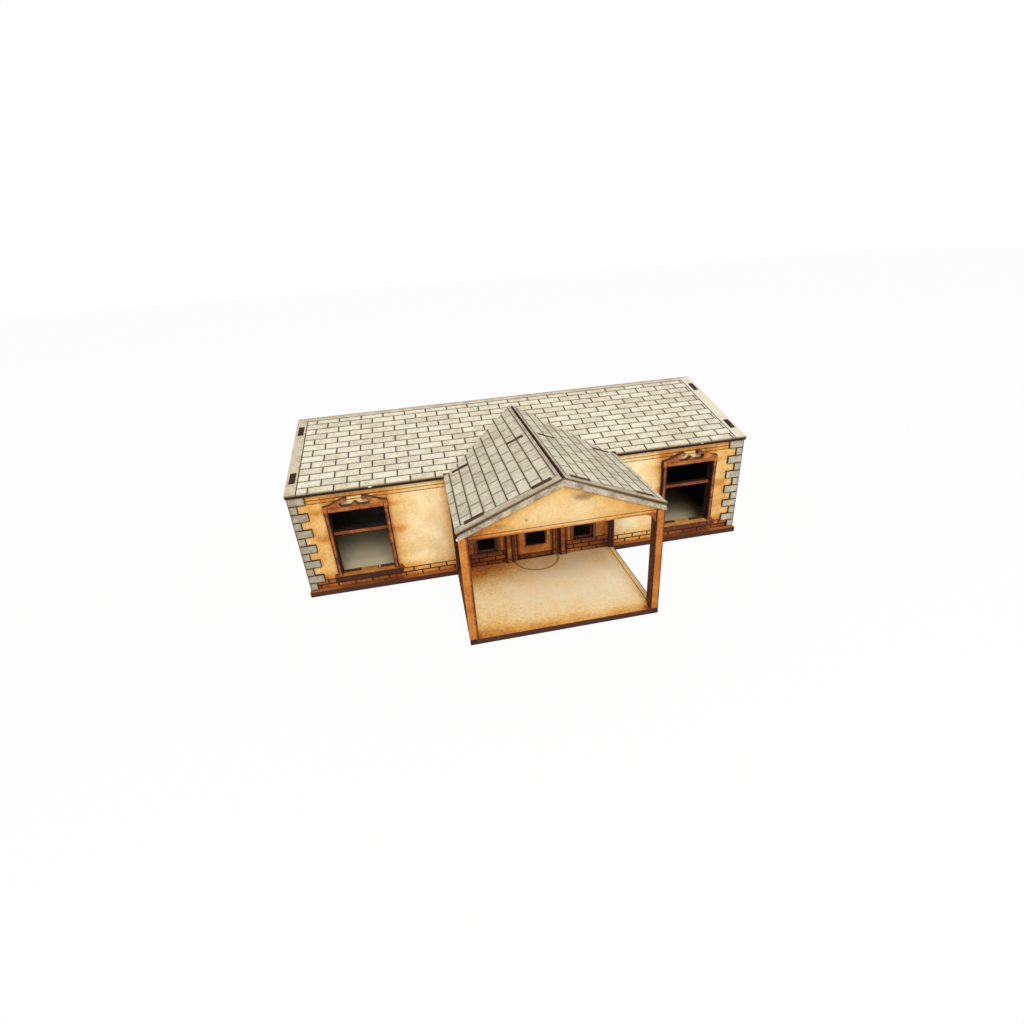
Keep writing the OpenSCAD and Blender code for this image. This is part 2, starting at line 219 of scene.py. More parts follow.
class Finish(Nodes):
    """A material being made, with its coordinates in millimetres from an origin."""

    def __init__(self, name, origin=(0, 0, 0)):
        self.material = bpy.data.materials.new(name)
        self.material.use_nodes = True
        super().__init__(self.material.node_tree)
        place = self.node("TexCoord", output="Object")
        self.place = self.scaled(place, 1 / MM, tuple(-c for c in origin))
        self.x, self.y, self.z = (self.axis(letter) for letter in "XYZ")

    def axis(self, letter):
        return self.node("SeparateXYZ", inputs={0: self.place}, output=letter)

    def scaled(self, vector, factor, shift):
        """A vector times a number, and then shifted."""
        inputs = {0: vector, 1: (factor,) * 3, 2: shift}
        return self.node("VectorMath", {"operation": "MULTIPLY_ADD"}, inputs)

    def dot(self, first, second):
        inputs = {0: first, 1: second}
        return self.node("VectorMath", {"operation": "DOT_PRODUCT"}, inputs, output="Value")

    def along(self, direction):
        """Distance along a direction, from the origin."""
        return self.dot(self.place, direction)

    def facing(self, direction):
        """From 1 where the surface looks along the direction to -1 where it looks away."""
        return self.dot(self.node("NewGeometry", output="True Normal"), direction)

    def radius(self, x, y):
        return (x * x + y * y).root()

    def oval(self, x, y, middle, half):
        """0 in an oval's middle and 1 at its rim, from its middle and half sizes along x and y."""
        return self.radius((x - middle[0]) / half[0], (y - middle[1]) / half[1])

    def off_box(self, x, y, middle, half):
        """Distance outside a box of such a middle and half sizes, and below 0 inside it."""
        return (abs(x - middle[0]) - half[0]).most(abs(y - middle[1]) - half[1])

    def mix(self, first, second, amount, blend="MIX"):
        settings = {"data_type": "RGBA", "blend_type": blend}
        return self.node("Mix", settings, {0: amount, 6: first, 7: second}, output=2)

    def sway(self, grain, detail=3.0, roughness=0.6, seed=0.0):
        """Noise round 0, mostly from -1 to 1, with features about grain millimetres across."""
        where = self.scaled(self.place, 1 / grain, (seed,) * 3)
        inputs = {"Vector": where, "Scale": 1.0, "Detail": detail, "Roughness": roughness}
        return self.node("TexNoise", {}, inputs) * 5 - 2.5

    def finish(self, colour, roughness, height):
        """Ends the material. The height is in millimetres."""
        bump = self.node("Bump", {}, {"Strength": 1.0, "Distance": MM, "Height": height}, output="Normal")
        look = {"Base Color": colour, "Roughness": roughness, "Specular IOR Level": 0.25, "Normal": bump}
        self.fill(self.tree.nodes["Principled BSDF"], look)
        return self.material


def set_stops(elements, stops):
    for element, (place, colour) in zip(elements, (stops[0], stops[-1])):
        element.position = place
        element.color = colour
    for place, colour in stops[1:-1]:
        elements.new(place).color = colour


def give(material, *nodes):
    for name in nodes:
        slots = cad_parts[name].data.materials
        slots.clear()
        slots.append(material)


FRONT = (0, -1, 0)
BACK = (0, 1, 0)
RIGHT = (1, 0, 0)
LEFT = (-1, 0, 0)
UP = (0, 0, 1)

# ---- laser-cut board


def scorched(f, heat, clouds=0.06, flecks=0.08, size=12.0, grime=0.5):
    """Board browned by heat, in drifting clouds of that size, fine flecks, grime and specks."""
    drift = f.sway(size, detail=5, seed=3.0)
    fleck = f.sway(1.2, detail=4, roughness=0.8, seed=7.0)
    colour = f.node("ValToRGB", {"stops": HEAT}, {0: heat + drift * clouds + fleck * flecks})
    patches = f.sway(8.0, detail=4, seed=4.0).rise(-1.2, 1.2)
    colour = f.mix(colour, GRIME, patches * grime, "MULTIPLY")
    return f.mix(colour, SPECK, f.sway(2.2, roughness=0.7, seed=8.0).rise(0.7, 1.8) * 0.4)


def painted_inner_shade(f):
    """The plain inner face of a sheet, near black with painted shade."""
    return f.mix(tone(30, 19, 13), tone(18, 12, 8), f.sway(14.0) * 0.5 + 0.5)


def charred(f, edge):
    """Cut edges: dark, with char in streaks."""
    return f.mix(edge, CHAR, f.sway(1.6, seed=11.0) * 0.35 + 0.4)


def edged(f, face, outward, edge, inner=None):
    """A sheet that looks outward, its cut edges, and where given its inner face."""
    facing = f.facing(outward)
    if inner is not None:
        face = f.mix(face, inner, facing.below(-0.5))
    return f.mix(face, edge, abs(facing).below(0.5))


def fibres(f):
    """The low relief of pressed fibres, in millimetres."""
    return f.sway(0.7, seed=5.0) * 0.025


def board_roughness(f, lines=0.0):
    return f.sway(3.0, seed=9.0) * 0.05 + lines * 0.1 + 0.78


# The length and height of a piece, the height of the first row's foot, and where that row starts.
Bond = namedtuple("Bond", "length height foot start")


def running_bond(f, along, up, bond):
    """Rows of pieces laid half over: distances to joints and row lines, and a number per piece."""
    up = up - bond.foot
    row = (up / bond.height).floor()
    along = along - bond.start + row.odd() * (bond.length / 2)
    cell = f.node("CombineXYZ", inputs={0: (along / bond.length).floor(), 1: row})
    number = f.node("TexWhiteNoise", {"noise_dimensions": "2D"}, {"Vector": cell})
    return along.from_multiple(bond.length), up.from_multiple(bond.height), number


# ---- walls

BARE = 0.17
CORNICE_LOW = 53.6
CORNICE_HIGH = 55.5
BRICKS = Bond(length=9.2, height=2.75, foot=2.55, start=0.5)
BRICKS_TOP = BRICKS.foot + 2 * BRICKS.height
PORCH_BRICKS_TOP = BRICKS_TOP + BRICKS.height
# Bands of browning at a wall's foot: full up to the first height, gone at the second, and how strong.
FOOT_BANDS = ((BRICKS_TOP, BRICKS_TOP + 6, 0.16), (6.8, 9, 0.08), (4.8, 5.8, 0.08), (BOARD, 4.6, 0.04))
PEDIMENT_FOOT = SURROUND_TOP - 6
PALE_BESIDE_PORCH = 26


def wall_heat(f, ends, bare=BARE):
    """A wall's browning, from its bare tone: at its ends, at its top edge and from the cornice up."""
    top_edge = (WALL_TOP - f.z).fall(0.1, 1.0) * f.z.below(WALL_TOP)
    cornice = f.z.rise(CORNICE_LOW - 0.3, CORNICE_LOW + 0.3)
    return bare + ends.fall(0, 8) * 0.14 + top_edge * 0.2 + cornice * 0.08


def foot_heat(f):
    """Browning over the rows of bricks, stronger towards the ground."""
    return sum(f.z.fall(full, gone) * amount for full, gone, amount in FOOT_BANDS)


def window_heat(f, heat, beside, around):
    """Adds the browning round a window and under it. Bare board shows through the pediment's
    openings, and the window's bars are dark."""
    z = f.z
    through = beside.below(-7) * z.between(PEDIMENT_FOOT, SURROUND_TOP - 0.5)
    heat = heat + (around.fall(0, 16) * 0.18 + around.fall(0, 2) * 0.12) * (1 - through)
    blotch = f.oval(beside, z, (3.5, 33), (8, 3.6)).fall(0.1, 1)
    high_blotch = f.oval(beside, z, (3, 48), (6, 2.6)).fall(0.1, 1)
    heat = heat + blotch * 0.16 + high_blotch * 0.112 + beside.below(0) * z.below(SILL_TOP) * 0.08
    bars = beside.below(-2) * z.between(SILL_TOP, PEDIMENT_FOOT)
    return heat * (1 - bars) + bars * 0.77


def bricked(f, heat, along, top):
    """A wall's colour and its engraved lines: bricks up to top, short joints over them, and the cornice."""
    z = f.z
    joint, seam, number = running_bond(f, along, z, BRICKS)
    mortar = joint.line(0.82).most(seam.line(0.7)) * (z - top).below(0.25)
    ragged = joint.line(0.9) * (z - top).below(1.3) * number.above(0.4) * z.above(BRICKS_TOP)
    lines = mortar.most(ragged * 0.8)
    cornice = (z - CORNICE_LOW).line(0.35).most((z - CORNICE_HIGH).line(0.35))
    colour = scorched(f, heat + z.below(BRICKS_TOP) * (number - 0.5) * 0.12)
    colour = f.mix(colour, INK, (lines * 0.92).most(z.fall(BOARD, BOARD + 0.4) * 0.6))
    colour = f.mix(colour, tone(112, 56, 18), cornice * 0.85)
    return colour, lines.most(cornice)


def finished_wall(f, colour, lines, outward):
    """Ends a wall, with dark cut edges that are paler under a window, and painted shade on its inner face.
    """
    under_window = f.facing(UP).above(0.5) * f.z.below(SILL_TOP + 1)
    edge = f.mix(charred(f, tone(58, 30, 18)), tone(112, 64, 32), under_window * 0.7)
    colour = edged(f, colour, outward, edge, painted_inner_shade(f))
    return f.finish(colour, board_roughness(f, lines), fibres(f) - lines * 0.3)


def long_wall(name, outward):
    """The front or the back wall. The front is charred where the porch's inner wall covers it."""
    f = Finish(name)
    beside = abs(abs(f.x) - WINDOW_X) - WINDOW_HALF
    around = beside.most(abs(f.z - (SILL_TOP + SURROUND_TOP) / 2) - (SURROUND_TOP - SILL_TOP) / 2)
    ends = HALF_WALL - BLOCKS_OVER - abs(f.x)
    bare, covered = BARE, 0
    if outward == FRONT:
        from_porch = f.x - PORCH_X
        ends = ends.least(abs(abs(from_porch) - PORCH_HALF) + 1)
        bare = BARE - from_porch.between(PORCH_HALF, PORCH_HALF + PALE_BESIDE_PORCH) * 0.05
        covered = abs(from_porch).below(PORCH_IN)
    heat = window_heat(f, wall_heat(f, ends, bare) + foot_heat(f), beside, around)
    colour, lines = bricked(f, heat, f.x, BRICKS_TOP)
    return finished_wall(f, f.mix(colour, CHAR, covered), lines, outward)


def end_wall(name, outward):
    middle = middle_mm("end_wall_left").y
    f = Finish(name, (0, middle, 0))
    half = high_mm("end_wall_left").y - middle
    heat = wall_heat(f, half - BLOCKS_OVER - abs(f.y)) + foot_heat(f)
    colour, lines = bricked(f, heat, f.y, BRICKS_TOP)
    return finished_wall(f, colour, lines, outward)


def porch_wall(name, node):
    """The porch's inner wall on one side of the door, with a trim line round its window."""
    f = Finish(name, (PORCH_X, 0, 0))
    middle, half = middle_mm(node), (high_mm(node) - low_mm(node)) / 2
    beside = abs(f.x + PORCH_X - middle.x) - half.x
    around = beside.most(abs(f.z - middle.z) - half.z)
    ends = (PORCH_IN - abs(f.x)).least((abs(f.x) - PILLAR_OUT) * 4)
    heat = wall_heat(f, ends) + f.x.fall(-40, 0) * 0.12 + f.z.fall(9, 12) * 0.1 + 0.38
    colour, lines = bricked(f, heat, f.x + PORCH_X, PORCH_BRICKS_TOP)
    trim_line = (around - 1.6).line(0.4).most((beside - 3.2).line(0.35) * 0.6)
    trim_line = trim_line * f.z.above(PORCH_BRICKS_TOP + 0.5)
    colour = f.mix(colour, tone(84, 52, 46), around.below(1.5) * 0.7)
    colour = f.mix(colour, INK, trim_line * 0.8)
    return finished_wall(f, colour, lines.most(trim_line), FRONT)


give(long_wall("engraved_front_wall", FRONT), "front_wall")
give(long_wall("engraved_back_wall", BACK), "back_wall")
give(end_wall("engraved_left_end", LEFT), "end_wall_left")
give(end_wall("engraved_right_end", RIGHT), "end_wall_right")

# ---- base

STEP_X = -0.4
STEP_Y = -2.6
STEP_R = 12.7
SILL_SHADE_HALF = 17.0


def porch_floor(f, step):
    """The porch's floor: brown at its rims, with the half ring of a step. Painted shade darkens its left
    side and its back, most at the back left, and greys the back.
    """
    front = f.y - PORCH_FRONT + WALL_FACE
    left = f.x + PORCH_IN
    right = PORCH_IN - f.x
    # Browner at the front rim; the darkening towards the left is painted shade.
    heat = 0.07 + front.fall(0, 26) * 0.14 + front.fall(0, 9) * 0.22 + left.fall(0, 60) * 0.13
    heat = heat + left.least(right).fall(0, 4) * 0.16
    # Painted shade: darker towards the back, most at the back left.
    heat = heat + f.y.rise(-30, -4) * (left.fall(0, 50) * 0.36 + 0.08)
    heat = heat + f.oval(right, front, (0, 0), (9, 9)).fall(0, 1) * 0.24
    colour = scorched(f, heat, clouds=0.07, flecks=0.14, size=14.0, grime=0)
    # Painted shade: greyer towards the back.
    colour = f.mix(colour, tone(206, 192, 176), f.y.rise(-40, -10) * 0.35, "MULTIPLY")
    colour = f.mix(colour, INK, f.y.rise(-3.2, -2.2) * 0.8)
    return f.mix(colour, tone(128, 94, 42), step.below(0) * 0.1 + step.line(1.1, 0.4) * 0.7)


def room_floor(f, from_middle):
    """The rooms' floor, browner at the walls, with painted shade that darkens it the deeper it lies."""
    inner = (HALF_WALL - BOARD - from_middle).least(f.y - BOARD).least(WALL_DEPTH - BOARD - f.y)
    colour = scorched(f, inner.fall(0, 10) * 0.3 + 0.12, clouds=0.05, flecks=0.05, size=18.0, grime=0)
    # Painted shade, darkening the floor deep in the rooms and behind the porch.
    shade = f.y.rise(22, 88).most(abs(f.x).fall(30, 56)).most(f.x.above(60) * f.y.rise(0, 46))
    return f.mix(colour, tone(50, 36, 24), shade * 0.93)


def base_sheet():
    """The rooms' floor, the porch's floor, and a brown margin round the walls, with painted shadow under the
    sills.
    """
    f = Finish("scorched_and_shaded_base", (PORCH_X, WALL_FACE, 0))
    from_middle = abs(f.x + PORCH_X)
    step = f.radius(f.x - STEP_X, f.y - STEP_Y) - STEP_R
    colour = f.mix(porch_floor(f, step), room_floor(f, from_middle), f.y.above(0))
    # Painted shadow of the sills: the margin is darker under them.
    sill_shadow = (abs(from_middle - WINDOW_X) - SILL_SHADE_HALF).fall(-1, 2)
    margin = scorched(f, sill_shadow * 0.12 + 0.63, clouds=0.06, flecks=0.06, size=9.0)
    beside_porch = (-f.y).least(abs(f.x) - PORCH_HALF)
    outside = (from_middle - HALF_WALL).most(f.y - WALL_DEPTH).most(beside_porch)
    colour = f.mix(colour, margin, outside.above(-0.2))
    colour = edged(f, colour, UP, charred(f, tone(84, 48, 36)))
    return f.finish(colour, board_roughness(f), fibres(f) - step.line(0.6, 0.25) * 0.2)


give(base_sheet(), "base_plate")

# ---- roofs

TILES = Bond(length=12.8, height=5.6, foot=5.0, start=-107.2)
TILES_LEFT = -119.2
TILES_RIGHT = 118.5
TILES_TOP = 70.7
PORCH_TILES = Bond(length=12.05, height=5.58, foot=3.1, start=10.25)
PORCH_TILES_FRONT = 4.4
PORCH_TILES_TOP = 47.8


def stone_flecks(f):
    return f.sway(1.0, detail=4, roughness=0.8, seed=13.0)


def tiles(f, joint, seam, number, pale, dull):
    """Engraved tiles: a tone for each, split-stone mottling, fine flecks and darker rims."""
    flecks = stone_flecks(f)
    mottle = f.sway(2.8, detail=2, seed=15.0)
    dullness = number * 0.5 + f.sway(9.0, seed=17.0) * 0.25 + mottle * 0.3 + 0.15
    colour = f.mix(pale, dull, dullness.rise(0, 1))
    colour = f.mix(colour, tone(96, 84, 62), flecks.rise(0.0, 1.3) * 0.7)
    colour = f.mix(colour, tone(255, 253, 238), flecks.fall(-1.2, -0.2) * 0.65)
    rim = joint.least(seam).fall(0.2, 1.1)
    return f.mix(colour, tone(130, 114, 84), rim * 0.4), flecks + mottle


def plain_strip(f, pale, dull):
    """The strip without tiles along a roof's rims."""
    return f.mix(pale, dull, (f.sway(5.0, seed=19.0) * 0.35 + stone_flecks(f) * 0.4 + 0.5).rise(0, 1))


def roof_finish(f, colour, relief, lines, outward, lip, edge, under):
    """Ends a roof sheet, whose origin is in its top face. Its edges have a paler lip along the top face, a
    painted highlight, above their charred part.
    """
    colour = f.mix(colour, tone(44, 32, 20), lines * 0.97)
    edge = f.mix(lip, charred(f, edge), (-f.along(outward)).rise(0.35, 0.95))
    colour = edged(f, colour, outward, edge, under)
    return f.finish(colour, board_roughness(f, lines), relief * 0.03 - lines * 0.35)


def main_slope(name, node, way):
    """A main slope. way is 1 at the front and -1 at the back."""
    eave = low_mm(node).y if way > 0 else high_mm(node).y
    f = Finish(name, (0, eave, low_mm(node).z + ROOF_T * math.cos(PITCH)))
    up = f.along((0, way * math.cos(PITCH), math.sin(PITCH)))
    joint, seam, number = running_bond(f, f.x, up, TILES)
    plain = (TILES_LEFT - f.x).most(f.x - TILES_RIGHT).most(up - TILES_TOP)
    colour, relief = tiles(f, joint, seam, number, tone(242, 233, 210), tone(208, 197, 170))
    strip = plain_strip(f, tone(222, 209, 184), tone(184, 168, 140))
    strip = f.mix(strip, tone(244, 236, 214), f.x.above(TILES_RIGHT) * 0.6)
    colour = f.mix(colour, strip, plain.above(0))
    lines = joint.line(0.55, 0.14).most(seam.line(0.42, 0.14) * 0.9) * plain.below(0)
    lines = lines.most(plain.line(0.5) * up.below(TILES_TOP + 0.3))
    colour = f.mix(colour, tone(150, 132, 100), up.fall(0.0, 1.4) * 0.5)
    outward = (0, -way * math.sin(PITCH), math.cos(PITCH))
    # The underside gets painted shade, and the edges' lip, tone(148, 128, 98), a painted highlight.
    return roof_finish(f, colour, relief, lines, outward, tone(148, 128, 98), tone(50, 28, 18), painted_inner_shade(f))


def porch_slope(name, node, side):
    """A slope of the porch roof. side is -1 at the left and 1 at the right."""
    foot = high_mm(node).x if side > 0 else low_mm(node).x
    f = Finish(name, (foot, low_mm(node).y, low_mm(node).z + ROOF_T * math.cos(PORCH_PITCH)))
    up = f.along((-side * math.cos(PORCH_PITCH), 0, math.sin(PORCH_PITCH)))
    joint, seam, number = running_bond(f, f.y, up, PORCH_TILES)
    plain = (PORCH_TILES_FRONT - f.y).most(up - PORCH_TILES_TOP)
    colour, relief = tiles(f, joint, seam, number, tone(222, 213, 190), tone(188, 178, 154))
    colour = f.mix(colour, plain_strip(f, tone(206, 192, 168), tone(164, 148, 124)), plain.above(0))
    lines = (joint.line(0.48) * 0.72).most(seam.line(0.46, 0.14) * 0.92) * plain.below(0)
    lines = lines.most(plain.line(0.4) * 0.7)
    outward = (side * math.sin(PORCH_PITCH), 0, math.cos(PORCH_PITCH))
    # Painted highlight on the edges' lip: paler on the front edge, and paler on the left slope than on the
    # right.
    front_highlight = tone(120, 102, 78) if side > 0 else tone(150, 132, 106)
    lip = f.mix(tone(84, 66, 50), front_highlight, f.facing(FRONT).above(0.5))
    return roof_finish(f, colour, relief, lines, outward, lip, tone(70, 50, 36), scorched(f, 0.2))


give(main_slope("tiled_front_slope", "roof_front", 1), "roof_front")
give(main_slope("tiled_back_slope", "roof_back", -1), "roof_back")
give(porch_slope("tiled_left_slope", "porch_roof_left", -1), "porch_roof_left")
give(porch_slope("tiled_right_slope", "porch_roof_right", 1), "porch_roof_right")

# ---- card trim

BLOCK_ROWS = 12
BLOCK_LONG = 8.6
BLOCK_SHORT = 4.1
FASCIA_PITCH = PORCH_PITCH + math.radians(1)


def card(f, light, dark):
    """Grey card, smudged and flecked."""
    smudge = f.sway(5.0, detail=4, seed=43.0)
    fleck = f.sway(0.9, roughness=0.8, seed=41.0)
    return f.mix(light, dark, (smudge * 0.4 + fleck * 0.35 + 0.5).rise(0, 1))


def card_finish(f, colour, outward, edge):
    colour = edged(f, colour, outward, edge)
    return f.finish(colour, f.sway(3.0, seed=9.0) * 0.05 + 0.7, f.sway(0.9, seed=41.0) * 0.015)


def corner_blocks(name, outward, along, corner, shade):
    """A strip of outlined blocks, long and short in turn, from its corner along X or Y."""
    f = Finish(name)
    foot = low_mm("blocks_front_left").z
    step = (high_mm("blocks_front_left").z - foot) / BLOCK_ROWS
    up = f.z - foot
    reach = abs((f.x if along == "X" else f.y) - corner)
    end = (up / step).floor().odd() * (BLOCK_LONG - BLOCK_SHORT) + BLOCK_SHORT - reach
    rim = up.from_multiple(step).least(end).least(reach)
    colour = card(f, tone(212, 203, 182), tone(158, 145, 122))
    colour = f.mix(colour, tone(132, 112, 86), shade)
    colour = f.mix(colour, tone(104, 90, 70), rim.fall(0.2, 1.2) * 0.4)
    colour = f.mix(colour, tone(40, 28, 20), rim.fall(0.18, 0.46) * 0.95)
    return card_finish(f, colour, outward, charred(f, tone(56, 42, 32)))


for face, outward, edge_y in (("front", FRONT, low_mm), ("back", BACK, high_mm)):
    for hand, end_outward, edge_x, shade in (("left", LEFT, low_mm, 0.42), ("right", RIGHT, high_mm, 0.08)):
        corner = face + "_" + hand
        end_x = edge_x("blocks_" + corner).x
        end_y = edge_y("blocks_end_" + corner).y
        give(corner_blocks("card_" + corner, outward, "X", end_x, shade), "blocks_" + corner)
        give(corner_blocks("card_end_" + corner, end_outward, "Y", end_y, shade), "blocks_end_" + corner)


def gable_card():
    """The card fascia on the porch's gable, darker along its upper edge."""
    f = Finish("card_fascia", (PORCH_X, 0, high_mm("porch_fascia").z))
    colour = card(f, tone(200, 186, 160), tone(128, 112, 86))
    down = -f.z - abs(f.x) * math.tan(FASCIA_PITCH)
    colour = f.mix(colour, tone(90, 72, 52), down.fall(0.1, 0.7) * 0.7)
    return card_finish(f, colour, FRONT, charred(f, tone(112, 94, 70)))


give(gable_card(), "porch_fascia")

# ---- window and door trim

JAMB = 2.1
CAPITAL_PAST = 0.2
PEDIMENT_H = 6.8
LINTEL_H = 2.2
CAPITAL_H = 1.5
LEAF_X = PORCH_X - 0.5
LEAF_HALF = 9.9
LIGHT_LOW = Vector((PORCH_X - 5.8, 0, 11.7))
LIGHT_HIGH = Vector((PORCH_X + 5.4, 0, 38.4))
KICK_TOP = 6.2
PLATE_MIDDLE = (7.9, 17.8)
PLATE_HALF = (1.0, 1.9)


def trim(f, heat, lines, outward, edge, top=None, clouds=0.07):
    """Ends a board's material, from its heat and engraved lines. top is a colour for its upper edges, a
    painted highlight that makes them paler than the side edges.
    """
    colour = scorched(f, heat, clouds, flecks=0.07, size=7.0)
    colour = f.mix(colour, INK, lines * 0.85)
    edge = charred(f, edge)
    # Painted highlight: upper edges paler than the side edges.
    if top is not None:
        edge = f.mix(edge, top, f.facing(UP).above(0.25) * (f.sway(2.0, seed=35.0) * 0.3 + 0.6))
    colour = edged(f, colour, outward, edge)
    return f.finish(colour, board_roughness(f), fibres(f) - lines * 0.2)


def surround(name, node, outward, half_opening, post, heat, rims):
    """A surround: posts dark at both rims, capitals, a lintel line and a browned pediment."""
    f = Finish(name, (middle_mm(node).x, 0, 0))
    head = high_mm(node).z - PEDIMENT_H
    side = abs(f.x)
    inner = side - half_opening
    outer = half_opening + post - side
    rim = (inner.fall(0, 0.9) + outer.fall(0, 0.7)) * rims
    heat = heat + (rim + 0.04) * f.z.below(head) + f.sway(5.0, seed=23.0) * 0.1
    capital = (f.z - head + CAPITAL_H).line(0.4).most(inner.line(0.4) * f.z.between(head, head + LINTEL_H))
    lintel = (f.z - head - LINTEL_H).line(0.35) * side.below(half_opening + 1) * 0.7
    # The last tone is the painted highlight on the upper edges.
    return trim(f, heat, capital.most(lintel), outward, tone(48, 26, 17), tone(118, 78, 54))


def window_sill(name, node, heat, edge):
    """A plain sill, darker towards its ends."""
    f = Finish(name, (middle_mm(node).x, middle_mm(node).y, 0))
    return trim(f, abs(f.x).rise(12, 18) * 0.24 + heat, 0.0, UP, edge, clouds=0.1)


for face, outward in (("front", FRONT), ("back", BACK)):
    for hand, sill_heat, sill_edge in (("left", 0.52, tone(78, 38, 22)), ("right", 0.46, tone(116, 62, 36))):
        node = f"surround_{face}_{hand}"
        half_opening = WINDOW_HALF - JAMB - CAPITAL_PAST
        give(surround("browned_" + node, node, outward, half_opening, JAMB, 0.69, 0.24), node)
        node = f"sill_{face}_{hand}"
        give(window_sill("browned_" + node, node, sill_heat, sill_edge), node)
doorway = surround("browned_door_surround", "door_surround", FRONT, DOORWAY_HALF, PILLAR_W, 0.6, 0.38)
give(doorway, "door_surround")


def door_sheet():
    """The door and its striped lining: a kick strip, a browned light and a small engraved plate."""
    f = Finish("browned_door", (LEAF_X, 0, 0))
    x, z = f.x, f.z
    out = abs(x) - LEAF_HALF
    middle, half = (LIGHT_LOW + LIGHT_HIGH) / 2, (LIGHT_HIGH - LIGHT_LOW) / 2
    light = f.off_box(x, z, (middle.x - LEAF_X, middle.z), (half.x, half.z))
    plate = f.off_box(x, z, PLATE_MIDDLE, PLATE_HALF)
    leaf = 0.57 + out.rise(-1.6, -0.4) * 0.14 + light.fall(0, 1.2) * 0.22 - plate.below(0) * 0.14
    leaf = leaf + z.below(KICK_TOP) * 0.24 + z.fall(3.3, 4.1) * 0.2
    stripes = (out - 1.35).line(0.8, 0.2).most((out - 2.7).line(0.6, 0.2) * 0.8)
    lining = 0.9 - stripes * (x.rise(-1, 1) * 0.06 + 0.18)
    heat = leaf.least(1) * out.below(0) + lining * out.above(0)
    lines = (out - 0.2).line(0.5).most((z - KICK_TOP).line(0.5) * 0.9).most(plate.line(0.4))
    return trim(f, heat, lines, FRONT, tone(40, 18, 10))


def porch_window_rim(name, node):
    f = Finish(name, (middle_mm(node).x, 0, middle_mm(node).z))
    colour = f.mix(tone(120, 80, 68), tone(74, 44, 36), f.sway(2.0, detail=4) * 0.5 + 0.5)
    colour = edged(f, colour, FRONT, charred(f, tone(44, 26, 18)))
    return f.finish(colour, board_roughness(f), fibres(f))


give(porch_window_rim("browned_left_rim", "porch_window_left"), "porch_window_left")
give(porch_window_rim("browned_right_rim", "porch_window_right"), "porch_window_right")

# ---- porch frames and gable boards

POST_W = 4.1
POST_LINE_FOOT = 46
OPEN_TOP = 55.1
BEAM_LINE = 57.0


def post_heat(f, post):
    """The porch's front posts: dark at their rims, the right one the most."""
    left, right = f.x.below(0), f.x.above(0)
    heat = 0.55 + right * (f.z.fall(20, 60) * 0.02 + post.fall(0.2, 0.9) * 0.46)
    heat = heat + left * post.fall(0.3, 1.5) * 0.26 + f.z.fall(BOARD, 8) * 0.05
    return heat + (PORCH_HALF - abs(f.x)).fall(0.1, 0.8) * (right * 0.3 - 0.04)


def smudge(f, colour, ink, middle, half, seed, strength):
    """A ragged oval smudge."""
    place = f.oval(f.x, f.z, middle, half) + f.sway(2.6, seed=seed) * 0.3
    return f.mix(colour, ink, place.fall(0.1, 1.1) * strength)


def porch_front():
    """The gable and its two posts, with an engraved beam line, smudges and a dark spot."""
    f = Finish("scorched_porch_front", (PORCH_X, 0, 0))
    x, z = f.x, f.z
    side = abs(x)
    post = side - PORCH_HALF + POST_W
    slope = (PORCH_PEAK - z - side * math.tan(PORCH_PITCH)) * math.cos(PORCH_PITCH)
    gable = 0.23 + slope.fall(2.4, 6) * 0.1 + x.fall(-44, -8) * 0.26 + x.rise(8, 44) * 0.12
    gable = gable + z.fall(OPEN_TOP, 62) * 0.1 + z.fall(OPEN_TOP + 0.1, OPEN_TOP + 1.2) * 0.22
    leg = post.above(0) * z.below(BEAM_LINE)
    heat = gable * (1 - leg) + post_heat(f, post) * leg
    beam = (z - BEAM_LINE).line(0.35) * side.below(PORCH_HALF - 2) * 0.8
    lines = beam.most(post.line(0.4) * z.between(POST_LINE_FOOT, BEAM_LINE))
    colour = scorched(f, heat, clouds=0.06, flecks=0.09, size=9.0, grime=0.3)
    colour = f.mix(colour, f.mix(tone(214, 203, 186), tone(222, 196, 112), leg), 0.58, "MULTIPLY")
    colour = smudge(f, colour, tone(96, 76, 38), (8.5, 68.6), (7.0, 2.6), 27.0, 0.62)
    colour = smudge(f, colour, tone(124, 92, 44), (-28, 60), (4.5, 1.7), 29.0, 0.5)
    colour = f.mix(colour, tone(110, 74, 50), f.radius(x + 16.5, z - 61).fall(0.3, 0.9) * 0.6)
    colour = f.mix(colour, INK, lines * 0.85)
    colour = edged(f, colour, FRONT, charred(f, tone(104, 58, 30)))
    return f.finish(colour, board_roughness(f, lines), fibres(f) - lines * 0.25)


give(porch_front(), "porch_front_frame")


def porch_side_frame(name, node, outward, foot_tone):
    """A side frame: golden board, a foot of its own tone, dark cut edges and a charred inner face."""
    f = Finish(name, (middle_mm(node).x, WALL_FACE, 0))
    out = -f.y
    heat = 0.48 + f.z.rise(BOARD, 40) * 0.1 + out.fall(0, 6) * 0.1 + out.rise(46, 57) * 0.32
    face = scorched(f, heat.most(f.z.below(BOARD + 0.2) * 0.92))
    foot = scorched(f, f.sway(8.0, seed=33.0) * 0.05 + foot_tone)
    foot = f.mix(foot, INK, (abs(f.x) - BOARD / 2).line(0.9) * 0.8)
    edge = f.mix(charred(f, tone(62, 28, 14)), foot, f.facing(UP).above(0.5) * f.z.below(BOARD + 1))
    colour = edged(f, face, outward, edge, scorched(f, f.z.fall(BOARD, 30) * 0.06 + 0.82))
    return f.finish(colour, board_roughness(f), fibres(f))


give(porch_side_frame("scorched_left_side", "porch_side_left", LEFT, 0.74), "porch_side_left")
give(porch_side_frame("scorched_right_side", "porch_side_right", RIGHT, 0.26), "porch_side_right")


